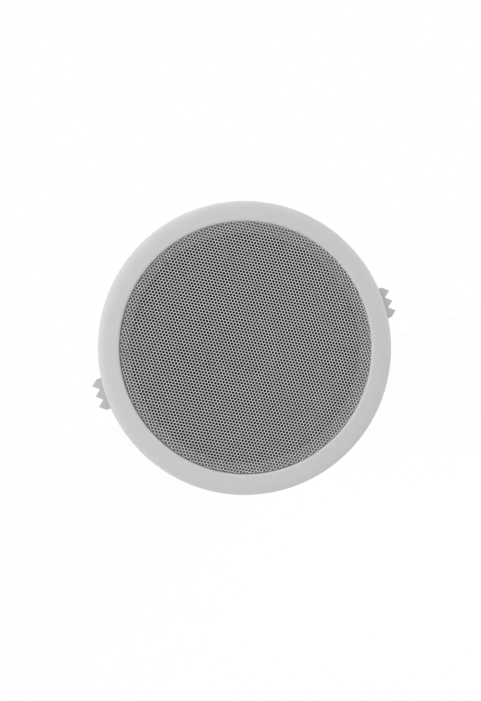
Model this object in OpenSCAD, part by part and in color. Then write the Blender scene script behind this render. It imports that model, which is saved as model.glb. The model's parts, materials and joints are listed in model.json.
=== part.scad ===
// Recessed ceiling speaker: round bezel moulding with a perforated grille, a 165 mm class driver,
// two toothed spring clips behind the bezel and a line transformer on a rear strap.
// The listener is on the -Y side, the void behind the panel is on the +Y side and +Z is up.
// The origin is the centre of the bezel's back plane, which is the face that meets the panel.

/* [Bezel] */
// Outer diameter of the bezel
bezel_d = 200; // [194:0.5:220]
// Height of the bezel crown in front of the panel
bezel_rise = 5; // [4.6:0.1:7]
// Straight height of the bezel's outer edge
rim_edge = 2; // [1:0.1:3]
// Radial length of the rounded outer edge
rim_round = 7; // [4:0.5:9]
// Radius of the rounded inner lip
lip_round = 1.4; // [0.4:0.1:1.6]
// Width of the bezel outside the collar
bezel_w = 12; // [11:0.5:14]
// Width of the ledge on which the driver's edge sits
seat_lap = 4; // [3.6:0.1:6]
// Depth of the driver seat behind the panel face
seat_depth = 6; // [5:0.25:8]
// Width of the flat ledge that carries the grille
ledge_w = 2; // [1:0.1:3]
// Depth of the relief grooves in the bezel's back
relief_depth = 2.4; // [1:0.1:2.6]
// Number of stiffening ribs across the relief groove
rib_count = 24; // [12:2:36]
// Thickness of one stiffening rib
rib_t = 1.6; // [1:0.1:2.5]

/* [Collar] */
// Wall thickness of the collar
collar_wall = 2.5; // [2:0.1:3]
// Height of the collar behind the panel face
collar_h = 20; // [18:0.5:26]

/* [Grille] */
// Distance from the collar's outer face in to the grille's edge
grille_inset = 2.7; // [2.4:0.1:4]
// Sheet thickness of the grille
grille_t = 1; // [0.8:0.1:1.5]
// Radial clearance between the grille and its recess
grille_gap = 0.45; // [0.4:0.05:0.8]
// Depth of the grille's face below the bezel crown
grille_sink = 1.4; // [1:0.1:1.6]
// Spacing of the perforations
hole_pitch = 14.4; // [14.4:0.2:20]
// Share of the spacing taken by each perforation's diameter
hole_share = 0.593; // [0.4:0.01:0.7]
// Distance by which the grille sits off centre in its recess
grille_shift = 0.35; // [0:0.05:0.4]

/* [Driver] */
// Sheet thickness of the driver basket
basket_t = 1.2; // [1:0.1:1.6]
// Thickness of the front gasket
gasket_t = 1; // [0.6:0.1:2]
// Width of the basket's flange outside the surround's roll
flange_w = 12; // [10.5:0.5:15]
// Depth of the cone from rim to neck
cone_depth = 22; // [18:0.5:23]
// Thickness of the cone's paper
cone_t = 0.8; // [0.5:0.1:1.2]
// Width of the surround's half roll
roll_w = 8; // [6:0.5:8.5]
// Thickness of the surround's rubber
surround_t = 0.6; // [0.4:0.1:0.8]
// Width of the glued rings of the surround
glue_w = 3.5; // [2.5:0.1:4]
// Inner diameter of the voice coil former
coil_d = 25.5; // [24:0.5:28]
// Length of the voice coil winding
coil_h = 8; // [6:0.5:10]
// Diameter of the dust cap
cap_d = 44; // [36:1:52]
// Diameter of the magnet
magnet_d = 90; // [84:1:96]
// Thickness of the magnet
magnet_h = 15; // [12:0.5:16]
// Diameter of the top plate and of the yoke
plate_d = 85; // [80:1:90]
// Thickness of the top plate and of the yoke's plate
plate_h = 5; // [4:0.5:6]
// Number of windows in the basket
window_count = 6; // [4:2:8]
// Width of the basket spokes between the windows
spoke_w = 14; // [10:1:18]

/* [Clips] */
// Width of the clip arms
clip_w = 21.7; // [18:0.1:22]
// Sheet thickness of the clip arms and their brackets
clip_t = 1.5; // [1.2:0.1:1.6]
// Reach of the clip teeth beyond the bezel's edge
clip_reach = 7; // [5:0.1:9]
// Depth of the clip teeth
tooth_depth = 4.3; // [3:0.1:5]
// Number of teeth on each clip arm
tooth_count = 3; // [2:1:5]
// Diameter of the clip pins
pin_d = 3; // [2.5:0.1:3.2]
// Wire diameter of the clip springs
spring_wire = 1.2; // [0.9:0.1:1.3]
// Number of turns of each clip spring
spring_turns = 6; // [4:1:7]

/* [Rear strap and transformer] */
// Width of the rear strap
strap_w = 30; // [26:1:36]
// Sheet thickness of the rear strap
strap_t = 1.5; // [1.2:0.1:2]
// Width of the transformer's laminations
core_w = 36; // [34:1:40]
// Height of the transformer's laminations
core_h = 29; // [26:0.5:30]
// Thickness of the transformer's lamination stack
core_stack = 14; // [12:0.5:16]
// Length of the terminal block
block_l = 30; // [27:0.5:34]
// Height of the terminal block
block_h = 11; // [9:0.5:13]
// Number of ways of the terminal block
block_ways = 3; // [2:1:4]
// Outer diameter of the hook-up wires
wire_d = 1.8; // [1.4:0.1:2]

/* [Fasteners] */
// Shank diameter of the driver screws
screw_d = 3; // [2.5:0.1:3]
// Head diameter of the driver screws
screw_head_d = 6; // [5:0.1:6.4]
// Shank diameter of the bracket rivets
rivet_d = 3; // [2.4:0.1:3.2]

/* [Hidden] */
$fn = 120;

// A hair of overlap for cutting shapes
cut = 0.5;
// Small gap between parts that lie close without touching
near = 0.3;
// Radial clearance of the clip arms on their pins
running = 0.08;

// Radii and depths of the bezel moulding
bezel_r = bezel_d / 2;
collar_r = bezel_r - bezel_w;
collar_in = collar_r - collar_wall;
basket_fit = 2;
basket_r = collar_in - basket_fit;
opening_r = basket_r - seat_lap;
grille_r = collar_r - grille_inset;
recess_r = grille_r + grille_gap;
throat_h = 4.5;
crown_fall = 0.2;
groove_margin = 3;
grille_front = grille_sink - bezel_rise;
grille_back = grille_front + grille_t;
grille_angle = 27;
row_pitch = hole_pitch * sqrt(3) / 2;
grille_edge = 3;
grille_field = grille_r - grille_edge;

// Radii and depths of the driver, all worked out from its seat
flange_front = seat_depth + gasket_t;
flange_back = flange_front + basket_t;
roll_out = basket_r - flange_w;
cone_r = roll_out - roll_w;
land_step = 0.5;
land_in = roll_out - land_step;
cone_rim = flange_front + cone_t;
cone_in = cone_r - glue_w;
coil_in = coil_d / 2;
former_t = 0.2;
wind_t = 0.5;
glue_t = 0.05;
neck_r = coil_in + former_t + glue_t;
neck_z = flange_front + cone_depth;
neck_grip = 3;
spider_gap = 2;
spider_z = neck_z + spider_gap;
shelf_z = spider_z + surround_t;
shelf_out = 41;
shelf_w = 7;
shelf_in = shelf_out - shelf_w;
shelf_seat = 5;
shelf_drop = 8;
top_z = shelf_z + shelf_drop;
magnet_z = top_z + plate_h;
yoke_z = magnet_z + magnet_h;
yoke_back = yoke_z + plate_h;
air_gap = 0.5;
screw_circle = (opening_r + basket_r) / 2 + 0.4;
screw_angles = [45, 135, 225, 315];

// Clip geometry: the pin's place, and the arm's plate under it
bracket_in = clip_w / 2 + near;
bracket_out = bracket_in + clip_t;
wing_w = 8;
wing_x = sqrt(pow(collar_in, 2) - pow(bracket_out + wing_w, 2)) - 0.1;
knuckle_r = 4.3;
pin_inset = 5.7;
pin_x = collar_r - pin_inset;
clear = 0.6;
pin_z = flange_back + knuckle_r + clear;
bracket_z0 = flange_back + clear;
bracket_z1 = collar_h - 0.5;
pin_head_d = pin_d + 2;
pin_head_h = 1;
wing_z = pin_z + pin_head_d / 2 + 0.4;
rivet_z = (wing_z + bracket_z1) / 2;
bracket_x = pin_x - knuckle_r - 2;
lug_wall = 1.6;
lug_x = pin_x + pin_d / 2 + lug_wall;
notch_w = 2 * (bracket_out + pin_head_h + 0.4);
plate_z = -near;
pocket_z = -2 * near;
tip_x = bezel_r + clip_reach;
bend_x = collar_r + groove_margin;
tooth_pitch = clip_w / tooth_count;
spring_r = pin_d / 2 + near + spring_wire / 2;
spring_pitch = spring_wire * 1.15;

// Rear strap, transformer and terminal block
strap_z = yoke_back;
strap_back = strap_z + strap_t;
winding_over = 6;
winding_l = core_stack + 2 * winding_over;
core_gap = 7;
core_y = -(magnet_d / 2 + winding_l / 2 + core_gap);
clamp_t = 1;
foot_w = 9;
foot_x = core_w / 2 + clamp_t + foot_w / 2 + 0.4;
pad_w = 2 * (foot_x + foot_w / 2) + 2;
block_w = 14;
block_gap = 9;
block_y = magnet_d / 2 + block_gap;
strap_hole_y = 22;
strap_screw_d = 3.4;
strap_screw_head_d = 7;
strap_screw_head_h = 2.4;
clamp_screw_d = 3;
clamp_screw_head_d = 5.6;
clamp_screw_head_h = 2;
screw_grip = 3.5;
way_pitch = block_l / block_ways;
block_hole_d = 3;
block_floor = 1.4;
entry_h = 5;

window_margin = 4;

// Tag strip on the lower spoke of the basket
spoke_foot = flange_back + 3;
spoke_mid_r = (land_in + shelf_out) / 2;
spoke_mid_z = (spoke_foot + shelf_z) / 2;
spoke_slope = atan2(shelf_z - spoke_foot, land_in - shelf_out);
tag_w = 28;
tag_l = 12;
tag_t = 1.6;
tag_x = 10.5;
stake_d = 1.6;
pad_h = 1.8;

// Turns a shape whose axis is local z, front at negative z, into the part's own frame
module face_out() {
    rotate([-90, 0, 0]) children();
}

// Copies a shape at each driver screw
module at_screws() {
    for (a = screw_angles)
        rotate([0, 0, a]) translate([screw_circle, 0, 0]) children();
}

// Ring of rectangular section
module ring(outer, inner, z0, z1) {
    rotate_extrude() translate([inner, z0]) square([outer - inner, z1 - z0]);
}

// Points of an arc as [radius, height] pairs
function arc_points(cx, cy, rx, ry, a0, a1, n) =
    [for (i = [0:n]) let (a = a0 + (a1 - a0) * i / n) [cx + rx * cos(a), cy + ry * sin(a)]];

// Smooth curve through a list of points, with n steps between each two
function curve(p, n) = [
    for (i = [0:len(p) - 2]) for (k = [0:n - 1])
        let (
            a = p[max(i - 1, 0)],
            b = p[i],
            c = p[i + 1],
            d = p[min(i + 2, len(p) - 1)],
            t = k / n
        )
        0.5 * (2 * b + (c - a) * t + (2 * a - 5 * b + 4 * c - d) * t * t
            + (3 * b - a - 3 * c + d) * t * t * t),
    p[len(p) - 1]
];

function unit(v) = v / norm(v);
function tangent(p, i) = unit(p[min(i + 1, len(p) - 1)] - p[max(i - 1, 0)]);
function square_to(v, t) = unit(v - (v * t) * t);
function side_vectors(p, i, v) =
    i >= len(p) ? [] :
    let (s = square_to(v, tangent(p, i))) concat([s], side_vectors(p, i + 1, s));

// Round wire of diameter d along the points p
module wire(p, d, sides = 8, start = [1, 0.2, 0.1]) {
    s = side_vectors(p, 0, start);
    n = len(p);
    rings = [
        for (i = [0:n - 1]) let (t = tangent(p, i), u = s[i], v = cross(t, u))
            for (k = [0:sides - 1])
                p[i] + d / 2 * (cos(360 * k / sides) * u + sin(360 * k / sides) * v)
    ];
    walls = [
        for (i = [0:n - 2]) for (k = [0:sides - 1])
            let (m = (k + 1) % sides)
            [i * sides + k, (i + 1) * sides + k, (i + 1) * sides + m, i * sides + m]
    ];
    first = [for (k = [0:sides - 1]) k];
    last = [for (k = [sides - 1:-1:0]) (n - 1) * sides + k];
    polyhedron(rings, concat(walls, [first, last]), convexity = 6);
}

// Bezel moulding: crowned ring, grille recess, sloping baffle and collar in one piece
module bezel_section() {
    crown_h = bezel_rise - rim_edge - crown_fall;
    crown = arc_points(bezel_r - rim_round, -rim_edge, rim_round, crown_h, 0, -90, 14);
    lip = arc_points(recess_r + lip_round, lip_round - bezel_rise, lip_round, lip_round, -90, -180, 6);
    polygon(concat(
        [[bezel_r, 0]],
        crown,
        lip,
        [
            [recess_r, grille_back],
            [recess_r - ledge_w, grille_back],
            [opening_r, seat_depth - throat_h],
            [opening_r, seat_depth],
            [collar_in, seat_depth],
            [collar_in, collar_h],
            [collar_r, collar_h],
            [collar_r, 0]
        ]
    ));
}

// Relief groove in the bezel's back, bridged by ribs
module relief_groove() {
    inner = collar_r + groove_margin;
    outer = bezel_r - groove_margin;
    difference() {
        ring(outer, inner, -relief_depth, cut);
        for (i = [0:rib_count - 1])
            rotate([0, 0, (i + 0.5) * 360 / rib_count])
                translate([inner - 1, -rib_t / 2, -relief_depth - 1])
                    cube([outer - inner + 2, rib_t, relief_depth + 3]);
        for (s = [-1, 1])
            translate([s * bezel_r, 0, 0])
                cube([2 * (bezel_r - inner) + 8, 2 * bracket_out + 3, 4 * relief_depth], center = true);
    }
}

module bezel_frame() {
    color([0.80, 0.80, 0.79]) face_out() difference() {
        union() {
            rotate_extrude() bezel_section();
            intersection() {
                for (sx = [-1, 1]) for (sy = [-1, 1])
                    translate([sx * (wing_x + 3), sy * (bracket_out + wing_w / 2), (wing_z + collar_h) / 2])
                        cube([6, wing_w + 1, collar_h - wing_z], center = true);
                cylinder(h = collar_h, r = collar_r - 0.2);
            }
        }
        relief_groove();
        for (s = [0, 180]) rotate([0, 0, s]) {
            translate([collar_in - clear, -notch_w / 2, pocket_z]) cube([2 * bezel_w, notch_w, 2 * collar_h]);
            translate([bracket_x, -notch_w / 2, seat_depth]) cube([2 * bezel_w, notch_w, 2 * collar_h]);
        }
        at_screws()
            translate([0, 0, seat_depth - 5]) cylinder(h = 5 + cut, d = screw_d - 0.4);
        at_rivets()
            translate([0, 0, -8]) cylinder(h = 16, d = rivet_d);
    }
}

// Copies a shape at each bracket rivet, with local z pointing outwards through the collar
module at_rivets() {
    for (sx = [-1, 1]) for (sy = [-1, 1])
        translate([sx * wing_x, sy * (bracket_out + wing_w / 2), rivet_z])
            rotate([0, 90 * sx, 0]) children();
}

// Perforated grille disc with staggered holes in upright rows
module grille() {
    hole_r = hole_pitch * hole_share / 2;
    columns = ceil(grille_field / row_pitch);
    rows = ceil(grille_field / hole_pitch);
    shift = grille_shift * [cos(grille_angle), -sin(grille_angle)];
    color([0.79, 0.79, 0.78]) face_out() translate([shift[0], shift[1], grille_front])
        linear_extrude(grille_t) difference() {
            circle(r = grille_r);
            for (i = [-columns:columns]) for (j = [-rows - 1:rows])
                let (
                    x = i * row_pitch,
                    y = (j + (abs(i) % 2) / 2) * hole_pitch
                )
                if (norm([x, y]) < grille_field - hole_r)
                    translate([x, y]) circle(r = hole_r);
        }
}

module front_gasket() {
    color([0.10, 0.10, 0.10]) face_out() difference() {
        ring(basket_r, opening_r + 0.5, seat_depth, flange_front);
        at_screws() cylinder(h = 50, d = screw_d + 0.6, center = true);
    }
}

// Pressed basket: flange, sloping spokes, spider shelf and bottom plate
module basket_section() {
    t = basket_t;
    side = t * 1.1;
    polygon([
        [basket_r, flange_front],
        [land_in, flange_front],
        [land_in - 1, flange_back + 2],
        [shelf_out, shelf_z],
        [shelf_in, shelf_z],
        [shelf_in - 1.5, top_z - t],
        [coil_in + 4, top_z - t],
        [coil_in + 4, top_z],
        [shelf_in - 1.5 + side, top_z],
        [shelf_in + side, shelf_z + t],
        [shelf_out + 0.5, shelf_z + t],
        [land_in - 1 + side, flange_back + 2 + 0.5],
        [land_in + side, flange_back],
        [basket_r, flange_back]
    ]);
}

// One window between two spokes, cut along the axis
module basket_window() {
    inner = shelf_out + window_margin;
    outer = land_in - window_margin - 1;
    linear_extrude(2 * shelf_z) intersection() {
        difference() {
            circle(r = outer);
            circle(r = inner);
        }
        polygon([for (a = [-1, -0.5, 0, 0.5, 1])
            spoke_w / 2 / sin(180 / window_count) * [1, 0]
                + 2 * outer * [cos(a * 180 / window_count), sin(a * 180 / window_count)],
            spoke_w / 2 / sin(180 / window_count) * [1, 0]]);
    }
}

// Flat bracket that lies on the slope of the lower spoke
module on_lower_spoke() {
    translate([0, spoke_mid_r, spoke_mid_z])
        rotate([-spoke_slope, 0, 0]) children();
}

module driver_basket() {
    color([0.13, 0.13, 0.14]) face_out() difference() {
        union() {
            difference() {
                rotate_extrude() basket_section();
                for (i = [0:window_count - 1])
                    rotate([0, 0, i * 360 / window_count]) basket_window();
            }
            on_lower_spoke()
                translate([-spoke_w / 2, -tag_l / 2, -0.6]) cube([spoke_w, tag_l, pad_h + 0.6]);
        }
        at_screws() cylinder(h = 50, d = screw_d + 0.4, center = true);
        on_lower_spoke() cylinder(h = tag_l, d = rivet_d, center = true);
    }
}

// Rubber half roll with a glued ring on each side
module surround() {
    mid_r = (cone_r + roll_out) / 2;
    outer_roll = roll_w / 2 + surround_t / 2;
    inner_roll = roll_w / 2 - surround_t / 2;
    face_z = flange_front;
    back_z = flange_front - surround_t;
    color([0.07, 0.07, 0.07]) face_out() rotate_extrude() polygon(concat(
        [[roll_out + glue_w, face_z], [roll_out + glue_w, back_z]],
        arc_points(mid_r, back_z, outer_roll, outer_roll, 0, -180, 20),
        [[cone_in, back_z], [cone_in, face_z], [mid_r - inner_roll, face_z]],
        arc_points(mid_r, back_z, inner_roll, inner_roll, -180, 0, 20),
        [[mid_r + inner_roll, face_z]]
    ));
}

// Front face of the cone at a radius
function cone_z(r) = cone_rim - cone_t + (neck_z - cone_rim) * pow((cone_in - r) / (cone_in - neck_r), 1.12);

module cone() {
    steps = 14;
    radii = [for (i = [0:steps]) cone_in + (neck_r - cone_in) * i / steps];
    color([0.12, 0.12, 0.12]) face_out() rotate_extrude() polygon(concat(
        [[cone_r, flange_front]],
        [for (r = radii) [r, cone_z(r)]],
        [for (i = [steps:-1:0]) [radii[i], cone_z(radii[i]) + cone_t * 1.3]],
        [[cone_r, flange_front + cone_t]]
    ));
}

// Domed cap over the voice coil, with a rim that follows the cone
module dust_cap() {
    cap_r = cap_d / 2;
    rise = 6;
    sphere_r = (cap_r * cap_r + rise * rise) / (2 * rise);
    seat = cone_z(cap_r);
    span = asin(cap_r / sphere_r);
    t = 0.6;
    color([0.09, 0.09, 0.09]) face_out() rotate_extrude() polygon(concat(
        [for (i = [0:12]) let (a = span * i / 12)
            [sphere_r * sin(a), seat - t - rise + sphere_r - sphere_r * cos(a)]],
        [for (i = [12:-1:0]) let (a = span * i / 12)
            [(sphere_r - t) * sin(a), seat - t - rise + sphere_r - (sphere_r - t) * cos(a)]]
    ));
}

module coil_former() {
    color([0.72, 0.58, 0.36]) face_out()
        ring(coil_in + former_t, coil_in, neck_z - neck_grip, top_z + plate_h / 2 + coil_h / 2 + 0.5);
}

module voice_coil() {
    mid = top_z + plate_h / 2;
    color([0.72, 0.40, 0.20]) face_out()
        ring(coil_in + former_t + wind_t, coil_in + former_t, mid - coil_h / 2, mid + coil_h / 2);
}

// Corrugated cloth spider between the former and the basket's shelf
module spider() {
    waves = 5;
    wave_in = neck_r + 2;
    wave_out = shelf_in - 1;
    height = 1.1;
    steps = waves * 12;
    t = surround_t;
    mid = [for (i = [0:steps]) let (s = i / steps)
        [wave_in + (wave_out - wave_in) * s, spider_z - height * sin(360 * waves * s)]];
    color([0.72, 0.55, 0.22]) face_out() rotate_extrude() polygon(concat(
        [[neck_r, spider_z]], mid, [[shelf_in + shelf_seat, spider_z]],
        [[shelf_in + shelf_seat, spider_z + t]],
        [for (i = [steps:-1:0]) mid[i] + [0, t]],
        [[neck_r, spider_z + t]]
    ));
}

module top_plate() {
    color([0.62, 0.63, 0.64]) face_out()
        ring(plate_d / 2, coil_in + former_t + wind_t + air_gap, top_z, magnet_z);
}

module magnet() {
    color([0.20, 0.20, 0.21]) face_out() ring(magnet_d / 2, coil_in + 9, magnet_z, yoke_z);
}

// Yoke plate with the centre pole, and two tapped holes for the rear strap
module yoke() {
    color([0.62, 0.63, 0.64]) face_out() difference() {
        union() {
            translate([0, 0, yoke_z]) cylinder(h = plate_h, d = plate_d);
            translate([0, 0, top_z]) cylinder(h = yoke_z - top_z + 1, r = coil_in - air_gap);
        }
        at_strap_screws()
            translate([0, 0, yoke_back - screw_grip - cut])
                cylinder(h = screw_grip + 2 * cut, d = strap_screw_d);
    }
}

module at_strap_screws() {
    for (s = [-1, 1]) translate([0, s * strap_hole_y, 0]) children();
}

// Insulating strip that carries the driver's two solder tags
module tag_strip() {
    color([0.42, 0.25, 0.12]) face_out() on_lower_spoke() difference() {
        translate([-tag_w / 2, -tag_l / 2, pad_h]) cube([tag_w, tag_l, tag_t]);
        cylinder(h = tag_l, d = rivet_d, center = true);
        for (s = [-1, 1]) translate([s * tag_x, 0, 0]) cylinder(h = tag_l, d = stake_d, center = true);
    }
}

// Two tags staked to the strip, and the rivet that holds the strip
module solder_tags() {
    tag_base = pad_h + tag_t;
    color([0.80, 0.66, 0.30]) face_out() on_lower_spoke() {
        for (s = [-1, 1]) translate([s * tag_x, 0, 0]) {
            translate([-1.75, -5, tag_base]) cube([3.5, 12, 0.6]);
            translate([0, 0, tag_base - tag_t]) cylinder(h = tag_t + 0.2, d = stake_d);
        }
        translate([0, 0, -0.6]) cylinder(h = tag_base + 0.6, d = rivet_d);
        translate([0, 0, tag_base]) cylinder(h = 0.8, d = 4.6);
    }
}

// Point over the lower spoke, y along its slope and h above it
function spoke_point(x, y, h) = [
    x,
    spoke_mid_r + y * cos(spoke_slope) + h * sin(spoke_slope),
    spoke_mid_z - y * sin(spoke_slope) + h * cos(spoke_slope)
];

// Flexible leads from the cone's back to the solder tags, through the windows beside the spoke
lead_d = 1;
lead_r = 28.4;
lead_z = cone_z(lead_r) + cone_t * 1.3 + lead_d / 2 + 0.27;
lead_end = spoke_point(0, -3.8, 4.9);
lead_run = lead_end[1] - lead_r;
lead_rise = lead_end[2] - lead_z;
tinsel_shape = [[0, 0], [0.095, 0.5], [0.243, 0.81], [0.426, 0.92], [0.61, 0.94], [0.794, 1.12],
    [0.923, 1.19], [1, 1]];
tinsel_route = [for (p = tinsel_shape) [0, lead_r + lead_run * p[0], lead_z + lead_rise * p[1]]];

module tinsel_leads() {
    color([0.60, 0.46, 0.30]) face_out()
        for (s = [-1, 1]) translate([s * tag_x, 0, 0]) wire(curve(tinsel_route, 3), lead_d);
}

// Hat-shaped steel bracket riveted inside the collar, with the pin's two bores
module clip_bracket() {
    color([0.72, 0.73, 0.74]) face_out() difference() {
        union() {
            translate([0, 0, bracket_z0]) linear_extrude(bracket_z1 - bracket_z0) {
                translate([bracket_x, -bracket_out]) square([clip_t, 2 * bracket_out]);
                for (y = [bracket_in, -bracket_out])
                    translate([bracket_x, y]) square([lug_x - bracket_x, clip_t]);
            }
            translate([0, 0, wing_z]) linear_extrude(bracket_z1 - wing_z)
                for (y = [bracket_in, -bracket_out - wing_w])
                    translate([wing_x - clip_t, y]) square([clip_t, wing_w + clip_t]);
        }
        translate([pin_x, 0, pin_z]) rotate([90, 0, 0])
            cylinder(h = 3 * bracket_out, d = pin_d, center = true);
        for (s = [-1, 1])
            translate([wing_x, s * (bracket_out + wing_w / 2), rivet_z]) rotate([0, 90, 0])
                cylinder(h = 10, d = rivet_d, center = true);
    }
}

module right_bracket() {
    clip_bracket();
}

module left_bracket() {
    mirror([1, 0, 0]) clip_bracket();
}

// Outline of the toothed end plate, as seen from the front
module tooth_outline() {
    root_x = tip_x - tooth_depth;
    polygon(concat(
        [[bend_x, -clip_w / 2], [root_x, -clip_w / 2]],
        [for (i = [0:tooth_count - 1]) for (k = [0, 1])
            k == 0
                ? [tip_x, -clip_w / 2 + (i + 0.5) * tooth_pitch]
                : [root_x, -clip_w / 2 + (i + 1) * tooth_pitch]],
        [[bend_x, clip_w / 2]]
    ));
}

// Clip arm: toothed plate, sloping web and two cheeks round the pin
module clip_arm() {
    web_top = [pin_x + 2.4, pin_z - knuckle_r + 0.6];
    color([0.76, 0.76, 0.76]) face_out() difference() {
        union() {
            translate([0, 0, plate_z]) linear_extrude(clip_t) tooth_outline();
            rotate([90, 0, 0]) linear_extrude(clip_w, center = true)
                polygon([
                    [bend_x - 0.1, plate_z],
                    [bend_x + clip_t, plate_z],
                    [bend_x + clip_t, plate_z + clip_t],
                    [bend_x + 0.6, plate_z + clip_t],
                    web_top + [clip_t * 0.8, clip_t * 0.7],
                    web_top
                ]);
            for (s = [-1, 1])
                translate([0, s * (clip_w / 2 - clip_t / 2), 0]) rotate([90, 0, 0])
                    linear_extrude(clip_t, center = true) {
                        translate([pin_x, pin_z]) circle(r = knuckle_r);
                        polygon([
                            [bend_x, plate_z],
                            [bend_x + 4, plate_z + clip_t],
                            [pin_x + knuckle_r * 0.75, pin_z + knuckle_r * 0.66],
                            [pin_x, pin_z],
                            [pin_x, pin_z - knuckle_r],
                            [collar_in + near, pin_z - knuckle_r]
                        ]);
                    }
        }
        translate([pin_x, 0, pin_z]) rotate([90, 0, 0])
            cylinder(h = 2 * clip_w, d = pin_d + 2 * running, center = true);
    }
}

module right_clip_arm() {
    clip_arm();
}

module left_clip_arm() {
    mirror([1, 0, 0]) clip_arm();
}

// Pin with a head at each end, outside the bracket's cheeks
module clip_pin() {
    color([0.66, 0.67, 0.68]) face_out() translate([pin_x, 0, pin_z]) rotate([90, 0, 0]) {
        cylinder(h = 2 * bracket_out, d = pin_d, center = true);
        for (s = [-1, 1])
            translate([0, 0, s * (bracket_out + pin_head_h / 2)])
                cylinder(h = pin_head_h, d = pin_head_d, center = true);
    }
}

module right_clip_pin() {
    clip_pin();
}

module left_clip_pin() {
    mirror([1, 0, 0]) clip_pin();
}

// Torsion spring: a coil round the pin with one leg on the bracket and one on the arm
module clip_spring() {
    per_turn = 16;
    half = spring_turns * spring_pitch / 2;
    start_angle = 180;
    end_angle = 41;
    sweep = 360 * spring_turns + start_angle - end_angle;
    steps = ceil(per_turn * sweep / 360);
    coil = [for (i = [0:steps]) let (a = start_angle - sweep * i / steps)
        [spring_r * cos(a), -half + 2 * half * i / steps, spring_r * sin(a)]];
    last = coil[steps];
    leg_dir = [sin(end_angle), 0, -cos(end_angle)];
    lean = [-cos(end_angle), 0, -sin(end_angle)];
    bracket_leg = [[-spring_r - 1.4, -half, -3.2], [-spring_r - 0.5, -half, -1.5]];
    arm_leg = [last + 3 * leg_dir + 0.1 * lean, last + 8 * leg_dir + 0.5 * lean];
    color([0.55, 0.56, 0.58]) face_out() translate([pin_x, 0, pin_z])
        wire(concat(bracket_leg, coil, arm_leg), spring_wire, 8, [1, 0, 0.05]);
}

module right_clip_spring() {
    clip_spring();
}

module left_clip_spring() {
    mirror([1, 0, 0]) clip_spring();
}

// Rivets that hold the clip brackets to the collar
module bracket_rivets() {
    color([0.66, 0.67, 0.68]) face_out() at_rivets() {
        translate([0, 0, -clip_t]) cylinder(h = clip_t + 2.5, d = rivet_d);
        translate([0, 0, -clip_t - 0.9]) cylinder(h = 0.9, d = rivet_d + 2.4);
    }
}

// Screw with a pan head at z0, its shank towards negative z
module pan_screw(z0, length, d, head_d, head_h) {
    translate([0, 0, z0 - length]) cylinder(h = length, d = d);
    difference() {
        translate([0, 0, z0]) cylinder(h = head_h, d1 = head_d, d2 = head_d * 0.7);
        for (a = [0, 90]) rotate([0, 0, a])
            translate([0, 0, z0 + head_h]) cube([head_d * 0.5, 0.8, 1.6], center = true);
    }
}

module driver_screws() {
    color([0.20, 0.20, 0.21]) face_out()
        at_screws() pan_screw(flange_back, basket_t + gasket_t + 4, screw_d - 0.4, screw_head_d, 2.2);
}

// Rear strap on the yoke, widened where the transformer sits
module rear_strap() {
    far_y = block_y + block_w / 2 + 3;
    pad_l = core_stack + 8;
    color([0.70, 0.71, 0.72]) face_out() difference() {
        translate([0, 0, strap_z]) linear_extrude(strap_t) {
            translate([-strap_w / 2, core_y]) square([strap_w, far_y - core_y]);
            translate([-pad_w / 2, core_y - pad_l / 2]) square([pad_w, pad_l]);
        }
        translate([0, 0, strap_z - cut]) {
            at_strap_screws() cylinder(h = strap_t + 2 * cut, d = strap_screw_d + clear);
            at_clamp_screws() cylinder(h = strap_t + 2 * cut, d = clamp_screw_d);
            at_block_screws() cylinder(h = strap_t + 2 * cut, d = block_hole_d);
        }
    }
}

module at_clamp_screws() {
    for (s = [-1, 1]) translate([s * foot_x, core_y, 0]) children();
}

module at_block_screws() {
    for (s = [-1, 1]) translate([s * way_pitch / 2, block_y, 0]) children();
}

module strap_screws() {
    color([0.66, 0.67, 0.68]) face_out()
        at_strap_screws()
            pan_screw(strap_back, strap_t + screw_grip,
                strap_screw_d, strap_screw_head_d, strap_screw_head_h);
}

// Laminated core with two windows, standing on edge below the strap
module transformer_core() {
    window_w = core_w / 6;
    window_h = core_h * 0.6;
    top = strap_z - near;
    color([0.30, 0.30, 0.32]) face_out() difference() {
        translate([-core_w / 2, core_y - core_stack / 2, top - core_h]) cube([core_w, core_stack, core_h]);
        for (s = [-1, 1])
            translate([s * core_w / 4, core_y, top - core_h / 2])
                cube([window_w, core_stack + 2, window_h], center = true);
    }
}

// Winding on its bobbin, through both windows of the core
module transformer_winding() {
    window_w = core_w / 6;
    window_h = core_h * 0.6;
    top = strap_z - near;
    inner_w = core_w / 2 - window_w + 0.1;
    outer_w = core_w / 2 + window_w - 0.4;
    color([0.80, 0.68, 0.34]) face_out() translate([0, core_y, top - core_h / 2]) difference() {
        cube([outer_w, winding_l, window_h - 0.3], center = true);
        cube([inner_w, core_stack + 0.2, window_h + 2], center = true);
    }
}

// Channel clamp over the core, with two feet on the strap
module transformer_clamp() {
    top = strap_z - near;
    leg_x = core_w / 2 + 0.1;
    color([0.68, 0.69, 0.70]) face_out() difference() {
        translate([0, core_y, 0]) rotate([90, 0, 0])
            linear_extrude(core_stack - 1, center = true) {
                translate([-leg_x - clamp_t, top - core_h - 0.1 - clamp_t])
                    square([2 * (leg_x + clamp_t), clamp_t]);
                for (s = [-1, 1]) {
                    translate([s > 0 ? leg_x : -leg_x - clamp_t, top - core_h - 0.1 - clamp_t])
                        square([clamp_t, core_h + near + 0.1 + clamp_t]);
                    translate([s > 0 ? leg_x : -leg_x - foot_w - clamp_t, strap_z - clamp_t])
                        square([foot_w + clamp_t, clamp_t]);
                }
            }
        at_clamp_screws() translate([0, 0, top - core_h]) cylinder(h = 2 * core_h, d = clamp_screw_d);
    }
}

module clamp_screws() {
    color([0.66, 0.67, 0.68]) face_out()
        at_clamp_screws()
            pan_screw(strap_back, strap_t + clamp_t + 2.5,
                clamp_screw_d, clamp_screw_head_d, clamp_screw_head_h);
}

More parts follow.
